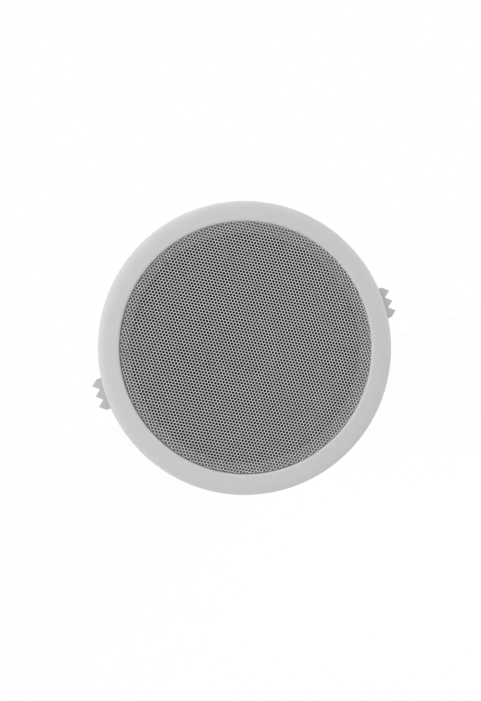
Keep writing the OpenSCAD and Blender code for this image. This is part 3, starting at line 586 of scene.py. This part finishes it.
def make_dust_cap():
    """Domed cap, and the bead of glue round its foot."""
    cap, rise, sheet = 22.0, 6.0, 0.6
    ball = (cap * cap + rise * rise) / (2 * rise)
    span = math.asin(cap / ball)
    top = cone_depth(cap) - sheet - rise + ball
    angles = [span * i / 24 for i in range(25)]
    outside = [(max(ball * math.sin(a), 0.001), top - ball * math.cos(a)) for a in angles]
    inside = [(max((ball - sheet) * math.sin(a), 0.001), top - (ball - sheet) * math.cos(a))
              for a in reversed(angles)]
    bm = bmesh.new()
    closed_spin(bm, outside + inside, 128)
    piece_from("domed_cap", bm, "cap_paper", "cone_assembly", replaces=("dust_cap",))
    bm = bmesh.new()
    closed_spin(bm, arc(cap + 0.35, cone_depth(cap + 0.35), 0.8, 0.45, 0, 345, 23), 128)
    piece_from("cap_glue", bm, "black_wire", "cone_assembly")


def make_surround():
    """Rubber half roll that flexes between the basket's flange and the cone's rim."""
    middle, face, back = 67.5, 7.0, 6.4
    profile = [(75, face), (75, back + 0.15), (74.85, back)]
    profile += arc(72.4, back - 0.6, 0.6, 0.6, 90, 165, 4)
    profile += arc(middle, back, 4.3, 4.3, -8, -172, 30)
    profile += arc(62.6, back - 0.6, 0.6, 0.6, 15, 90, 4)
    profile += [(CONE_INNER + 0.15, back), (CONE_INNER, back + 0.15), (CONE_INNER, face)]
    profile += [(63.8, face)] + arc(middle, back, 3.7, 3.7, -180, 0, 30) + [(71.2, face)]
    held, loose = 71.4, 63.6
    bm = bmesh.new()
    closed_spin(bm, profile, 192)
    piece = piece_from("flexing_surround", bm, "surround_rubber", None, replaces=("surround",))
    bend_between(piece, "cone_assembly", lambda co: eased((held - from_axis(co)) / (held - loose)))


def make_spider():
    """Corrugated cloth ring between the coil's former and the basket's shelf."""
    bed, sheet, waves = 31.0, 0.6, 5
    first, last = 15.0, 33.0
    count = waves * 20
    middle = []
    for i in range(count + 1):
        share = i / count
        middle.append((first + (last - first) * share, bed - 1.1 * math.sin(2 * math.pi * waves * share)))
    profile = [(NECK_RADIUS, bed)] + middle + [(39, bed), (39, bed + sheet)]
    profile += [(r, z + sheet) for r, z in reversed(middle)] + [(NECK_RADIUS, bed + sheet)]
    bm = bmesh.new()
    closed_spin(bm, profile, 144)
    piece = piece_from("flexing_spider", bm, "spider_cloth", None, replaces=("spider",))
    held, loose = last + 0.5, first - 0.5
    bend_between(piece, "cone_assembly", lambda co: eased((held - from_axis(co)) / (held - loose)))


SPOKE_MIDDLE = (56.0, 21.4)
SPOKE_SLOPE = math.atan2(20.4, 30.0)
TAG_X = 10.5


def over_spoke(x, y, h):
    """Point over the lower spoke, y along its slope and h above it."""
    return (x, SPOKE_MIDDLE[0] + y * math.cos(SPOKE_SLOPE) + h * math.sin(SPOKE_SLOPE),
            SPOKE_MIDDLE[1] - y * math.sin(SPOKE_SLOPE) + h * math.cos(SPOKE_SLOPE))


def make_tinsel_leads():
    """Flexible braids from the cone's back to the solder tags, and a dab of glue on the cone."""
    start_r = 28.4
    start_z = cone_depth(start_r) + CONE_BACK + 0.77
    end = over_spoke(0, -3.8, 4.9)
    shape = [(0, 0), (0.095, 0.5), (0.243, 0.81), (0.426, 0.92), (0.61, 0.94), (0.794, 1.12),
             (0.923, 1.19), (1, 1)]
    bm = bmesh.new()
    glue = bmesh.new()
    for x in (TAG_X, -TAG_X):
        route = [(x, start_r + (end[1] - start_r) * a, start_z + (end[2] - start_z) * b) for a, b in shape]
        tube(bm, through(route, 8), 0.5, 12)
        blob(glue, (x, start_r, start_z - 0.2), (2.0, 2.4, 0.9))
    piece = piece_from("flexing_tinsel", bm, "tinsel_braid", None, replaces=("tinsel_leads",))
    held = end[1] - 1
    bend_between(piece, "cone_assembly", lambda co: eased((held + co.z) / (held - start_r)))
    piece_from("tinsel_glue", glue, "black_wire", "cone_assembly")


def blob(bm, centre, radii):
    """A flattened ball, its centre and radii in the drawing's millimetres."""
    made = bmesh.ops.create_uvsphere(bm, u_segments=20, v_segments=12, radius=1.0)
    size = Matrix.Diagonal(Vector((radii[0], radii[2], radii[1])) * MM).to_4x4()
    bmesh.ops.transform(bm, matrix=Matrix.Translation(point(*centre)) @ size, verts=made["verts"])


def make_solder():
    """Solder on the tags where the leads and the wires end."""
    bm = bmesh.new()
    for x in (TAG_X, -TAG_X):
        blob(bm, over_spoke(x, -3.6, 4.3), (1.3, 1.3, 0.75))
        blob(bm, over_spoke(x, 4.6, 4.3), (1.5, 1.5, 0.9))
    piece_from("solder_joints", bm, "plated_steel", "root")


def make_magnet_glue():
    """The squeezed-out glue between the magnet and its two plates."""
    bm = bmesh.new()
    for depth in (44.6, 59.6):
        closed_spin(bm, arc(42.5, depth, 0.55, 0.35, 0, 345, 15), 160)
    piece_from("magnet_glue", bm, "cap_paper", "root")


# Clips

PIN_X = 82.3
PIN_DEPTH = 13.1


def make_clip_spring(name, node, moving, sign):
    """Torsion spring round a clip's pin: one leg on the bracket, one on the arm, winding up between."""
    turn_radius, turns, wire = 2.4, 6, 0.6
    half = turns * 1.38 / 2
    start, end = 180.0, 41.0
    sweep = 360 * turns + start - end
    count = 32 * turns + 12
    coil = []
    for i in range(count + 1):
        angle = math.radians(start - sweep * i / count)
        coil.append(Vector((turn_radius * math.cos(angle), -half + 2 * half * i / count,
                            turn_radius * math.sin(angle))))
    away = Vector((math.sin(math.radians(end)), 0, -math.cos(math.radians(end))))
    lean = Vector((-math.cos(math.radians(end)), 0, -math.sin(math.radians(end))))
    legs = [Vector((-turn_radius - 1.4, -half, -3.2)), Vector((-turn_radius - 0.5, -half, -1.5))]
    ends = [coil[-1] + 3 * away + 0.1 * lean, coil[-1] + 8 * away + 0.5 * lean]
    path = [(sign * (p.x + PIN_X), p.y, p.z + PIN_DEPTH) for p in legs + coil + ends]
    bm = bmesh.new()
    tube(bm, path, wire, 12)
    piece = piece_from(name, bm, "spring_steel", None, replaces=(node,))
    bend_between(piece, moving, lambda co: eased((half - co.z) / (2 * half)))


# Transformer, strap and wires

STRAP_BACK = 66.1
CORE_Y = -65.0
STRAP_HOLE = 22.0


def make_winding():
    """Taped winding between two flanges of its bobbin."""
    bm = bmesh.new()
    box_at(bm, (0, CORE_Y, 49.8), (23.6, 24.2, 17.1), 1.6)
    piece_from("taped_winding", bm, "winding_tape", "root", replaces=("transformer_winding",))
    bm = bmesh.new()
    for y in (-12.6, 12.6):
        box_at(bm, (0, CORE_Y + y, 49.8), (25.4, 1.0, 18.6), 0.25)
    piece_from("bobbin_flanges", bm, "phenolic_board", "root")


def box_at(bm, centre, size, rounding):
    """A box with rounded edges, its centre and size in the drawing's millimetres."""
    made = bmesh.ops.create_cube(bm, size=1.0)
    scale = Matrix.Diagonal(Vector((size[0], size[2], size[1])) * MM).to_4x4()
    bmesh.ops.transform(bm, matrix=Matrix.Translation(point(*centre)) @ scale, verts=made["verts"])
    edges = list(dict.fromkeys(edge for vert in made["verts"] for edge in vert.link_edges))
    bmesh.ops.bevel(bm, geom=edges, offset=rounding * MM, segments=3, affect="EDGES", profile=0.5,
                    material=-1)


def make_wires():
    """Insulated wires along the drawing's routes, laid on the strap."""
    lay, entry, mouth, edge = STRAP_BACK + 1.0, 70.0, 47.0, 15.0
    coil, lead = CORE_Y + 13.2, 8.6
    tag = over_spoke(0, 4.56, 5.03)
    red = [
        [(10, mouth + 3.6, entry), (10, mouth - 1, entry), (10.2, mouth - 5.5, lay + 2.1),
         (10.8, mouth - 10, lay + 0.7), (11, mouth - 16, lay), (11, STRAP_HOLE - 2, lay), (11, 0, lay),
         (11, 2 - STRAP_HOLE, lay), (11, coil + 20.8, lay), (edge - 3, coil + 14.8, lay),
         (edge - 0.3, coil + 10.6, lay + 0.1), (edge + 1.5, coil + 8.6, lay - 0.6),
         (edge + 1.9, coil + 6.8, lay - 3.4), (edge + 0.4, coil + 3.8, lay - 7.4),
         (lead + 4.4, coil + 2.8, lay - 9.6), (lead + 1.4, coil + 1.5, lay - 11.9),
         (lead, coil, lay - 12.7)],
        [(0, mouth + 3.6, entry), (0, mouth - 1, entry), (1.2, mouth - 5.5, lay + 2.1),
         (4, mouth - 9, lay + 0.7), (7, mouth - 13, lay), (8.6, mouth - 19, lay),
         (8.8, STRAP_HOLE - 4, lay), (8.8, 0, lay), (8.8, 2 - STRAP_HOLE, lay), (8.8, coil + 19.8, lay),
         (edge - 4.6, coil + 12.4, lay), (edge - 1.8, coil + 7.8, lay), (edge + 1, coil + 4.8, lay - 0.4),
         (edge + 2.8, coil + 3, lay - 3.1), (edge + 2.8, coil + 2, lay - 7.6),
         (lead + 5.4, coil + 1.8, lay - 14.6), (lead + 1.2, coil + 1.4, lay - 17.9),
         (lead, coil, lay - 18.5)],
    ]
    black = [
        [(-lead, coil, lay - 12.7), (-lead - 1.4, coil + 1.5, lay - 11.9),
         (-lead - 4.4, coil + 2.8, lay - 9.6), (-edge - 2, coil + 4.8, lay - 5.1),
         (-edge - 3, coil + 8.8, lay - 1.1), (-edge - 3, coil + 15.8, lay + 0.9),
         (-edge - 3, -STRAP_HOLE - 2, lay + 1.3), (-edge - 3, 0, lay + 1.3),
         (-edge - 3, STRAP_HOLE + 2, lay + 1.3), (-edge - 3, mouth - 11, lay + 0.9),
         (-edge - 2.8, mouth - 1, lay - 1.6), (-edge - 2.4, mouth + 7, lay - 7.1),
         (-edge - 1.6, tag[1] - 1.6, lay - 16.1), (-TAG_X - 3.9, tag[1] + 2.4, tag[2] + 17),
         (-TAG_X - 1.1, tag[1] + 2.8, tag[2] + 8), (-TAG_X, tag[1] + 1.6, tag[2] + 2.4),
         (-TAG_X, tag[1], tag[2])],
        [(-lead, coil, lay - 18.5), (-lead - 1.2, coil + 1.4, lay - 17.9),
         (-lead - 5.4, coil + 1.8, lay - 14.6), (-edge - 4, coil + 2.8, lay - 7.6),
         (-edge - 5.4, coil + 6.8, lay - 1.6), (-edge - 5.4, coil + 14.8, lay + 0.9),
         (-edge - 5.4, -STRAP_HOLE - 2, lay + 1.3), (-edge - 5.4, 0, lay + 1.3),
         (-edge - 5.4, STRAP_HOLE + 2, lay + 1.3), (-edge - 5, mouth - 9, lay + 0.9),
         (-edge - 3.6, mouth + 2.6, lay - 1.6), (-edge + 1, mouth + 11, lay - 7.5),
         (-5, tag[1] + 1.4, lay - 17.1), (4, tag[1] + 4.4, tag[2] + 17),
         (TAG_X - 1.1, tag[1] + 3.8, tag[2] + 8), (TAG_X, tag[1] + 1.6, tag[2] + 2.4),
         (TAG_X, tag[1], tag[2])],
    ]
    for name, routes, slot_name, node in (("supply_wires", red, "red_wire", "input_wires"),
                                          ("speaker_wires", black, "black_wire", "output_wires")):
        bm = bmesh.new()
        for route in routes:
            tube(bm, through(route, 8), 0.9, 16)
        piece_from(name, bm, slot_name, "root", replaces=(node,))


# Rounding of the edges of each CAD node that is shown as drawn, in millimetres
ROUNDED = {
    "bezel_frame": 0.25, "front_gasket": 0.15, "driver_basket": 0.3, "coil_former": 0, "voice_coil": 0,
    "top_plate": 0.5, "magnet": 0.8, "yoke": 0.6, "tag_strip": 0.15, "solder_tags": 0.1,
    "right_bracket": 0.3, "left_bracket": 0.3, "right_clip_arm": 0.3, "left_clip_arm": 0.3,
    "right_clip_pin": 0.3, "left_clip_pin": 0.3, "bracket_rivets": 0.35, "driver_screws": 0.25,
    "rear_strap": 0.3, "strap_screws": 0.25, "transformer_core": 0.15, "transformer_clamp": 0.25,
    "clamp_screws": 0.2, "terminal_block": 0.4, "terminal_screws": 0.2,
}


# Stage, light and camera

VIEW_DISTANCE = 0.3868
VIEW_YAW = math.radians(4.21)
VIEW_PITCH = math.radians(0.76)
VIEW_ROLL = math.radians(17.94)
VIEW_SHIFT = Vector((0.0044, 0.0020))
# The lens, in pixels of the photograph, and the photograph's height
FOCAL_PIXELS = 566.0
FRAME_HEIGHT = 701
WORLD_LEVEL = 0.45
# Height of the part above the floor, and how white the camera sees the floor
FLOOR_DROP = 0.35
FLOOR_WHITE = 0.97
# Name, place, size and power of each lamp; all aim at the part
LAMPS = (
    ("key", (-0.7, -0.8, 0.55), 1.2, 5.1),
    ("left_side", (-1.3, -0.25, 0.35), 1.0, 5.0),
    ("top_side", (0.1, -0.3, 1.3), 1.0, 7.5),
    ("right_side", (1.3, -0.12, 0.2), 1.0, 5.4),
    ("behind", (0.3, 1.3, 0.8), 1.0, 14),
)


def make_camera():
    """The photograph's view: nearly square on, a little from the left, rolled."""
    data = bpy.data.cameras.new("view")
    data.lens = data.sensor_width * FOCAL_PIXELS / FRAME_HEIGHT
    data.clip_start = 0.01
    camera = bpy.data.objects.new("view", data)
    bpy.context.scene.collection.objects.link(camera)
    turn = (Matrix.Rotation(VIEW_ROLL, 3, "Z") @ Matrix.Rotation(VIEW_YAW, 3, "Y")
            @ Matrix.Rotation(VIEW_PITCH, 3, "X"))
    to_face = Matrix(((1, 0, 0), (0, 0, 1), (0, -1, 0)))
    back = (turn @ to_face).transposed()
    offset = Vector((VIEW_SHIFT.x, VIEW_SHIFT.y, -VIEW_DISTANCE))
    camera.matrix_world = Matrix.Translation(back @ -offset) @ back.to_4x4()
    bpy.context.scene.camera = camera


def white_to_camera(tree, dim, share):
    """Mixes a plain white seen by the camera, gloss and glass into a shader."""
    path = tree.nodes.new("ShaderNodeLightPath")
    seen = math_node(tree, "MAXIMUM", path.outputs["Is Camera Ray"],
                     math_node(tree, "MAXIMUM", path.outputs["Is Glossy Ray"],
                               path.outputs["Is Transmission Ray"]))
    mix = tree.nodes.new("ShaderNodeMixShader")
    tree.links.new(math_node(tree, "MULTIPLY", seen, share), mix.inputs[0])
    tree.links.new(dim, mix.inputs[1])
    return mix


def make_world():
    """Dim white surroundings that the camera sees as plain white."""
    world = bpy.data.worlds.new("studio")
    bpy.context.scene.world = world
    world.use_nodes = True
    tree = world.node_tree
    dim = tree.nodes["Background"]
    dim.inputs["Color"].default_value = (1, 1, 1, 1)
    dim.inputs["Strength"].default_value = WORLD_LEVEL
    white = add(tree, "ShaderNodeBackground", Color=(1, 1, 1, 1), Strength=1.0)
    mix = white_to_camera(tree, dim.outputs[0], 1.0)
    tree.links.new(white.outputs[0], mix.inputs[2])
    tree.links.new(mix.outputs[0], tree.nodes["World Output"].inputs["Surface"])


def make_floor():
    """A pale floor well below the part, which hangs in its panel."""
    bm = bmesh.new()
    bmesh.ops.create_grid(bm, x_segments=1, y_segments=1, size=6)
    mesh = bpy.data.meshes.new("floor")
    bm.to_mesh(mesh)
    bm.free()
    floor = bpy.data.objects.new("floor", mesh)
    floor.location.z = cad_box[0][2] - FLOOR_DROP
    bpy.context.scene.collection.objects.link(floor)
    material = bpy.data.materials.new("pale_floor")
    material.use_nodes = True
    tree = material.node_tree
    shader = tree.nodes["Principled BSDF"]
    shader.inputs["Base Color"].default_value = (0.85, 0.85, 0.85, 1)
    shader.inputs["Roughness"].default_value = 0.9
    glow = add(tree, "ShaderNodeEmission", Strength=1.0)
    mix = white_to_camera(tree, shader.outputs[0], FLOOR_WHITE)
    tree.links.new(glow.outputs[0], mix.inputs[2])
    tree.links.new(mix.outputs[0], tree.nodes["Material Output"].inputs["Surface"])
    mesh.materials.append(material)


def area_light(name, position, size, power):
    """A round soft lamp aimed at the part."""
    data = bpy.data.lights.new(name, "AREA")
    data.shape = "DISK"
    data.size = size
    data.energy = power
    light = bpy.data.objects.new(name, data)
    light.location = position
    aim = -Vector(position)
    light.rotation_euler = aim.to_track_quat("-Z", "Y").to_euler()
    bpy.context.scene.collection.objects.link(light)


def make_lights():
    """Soft light from the left of the face, others round its edge and one behind."""
    for name, position, size, power in LAMPS:
        area_light(name, position, size, power)


def dress_cad_nodes():
    """Gives every CAD node the finish of its slot, shown or not."""
    for name, slot_name in SLOTS.items():
        mesh = nodes[name].data
        mesh.materials.clear()
        mesh.materials.append(FINISHES[slot_name])


dress_cad_nodes()
for node_name, rounding in ROUNDED.items():
    softened(node_name, rounding)
make_grille()
make_cone()
make_dust_cap()
make_surround()
make_spider()
make_tinsel_leads()
make_solder()
make_magnet_glue()
make_clip_spring("right_flexing_spring", "right_clip_spring", "right_clip", 1)
make_clip_spring("left_flexing_spring", "left_clip_spring", "left_clip", -1)
make_winding()
make_wires()
make_camera()
make_world()
make_floor()
make_lights()
bpy.context.scene.view_settings.view_transform = "Standard"
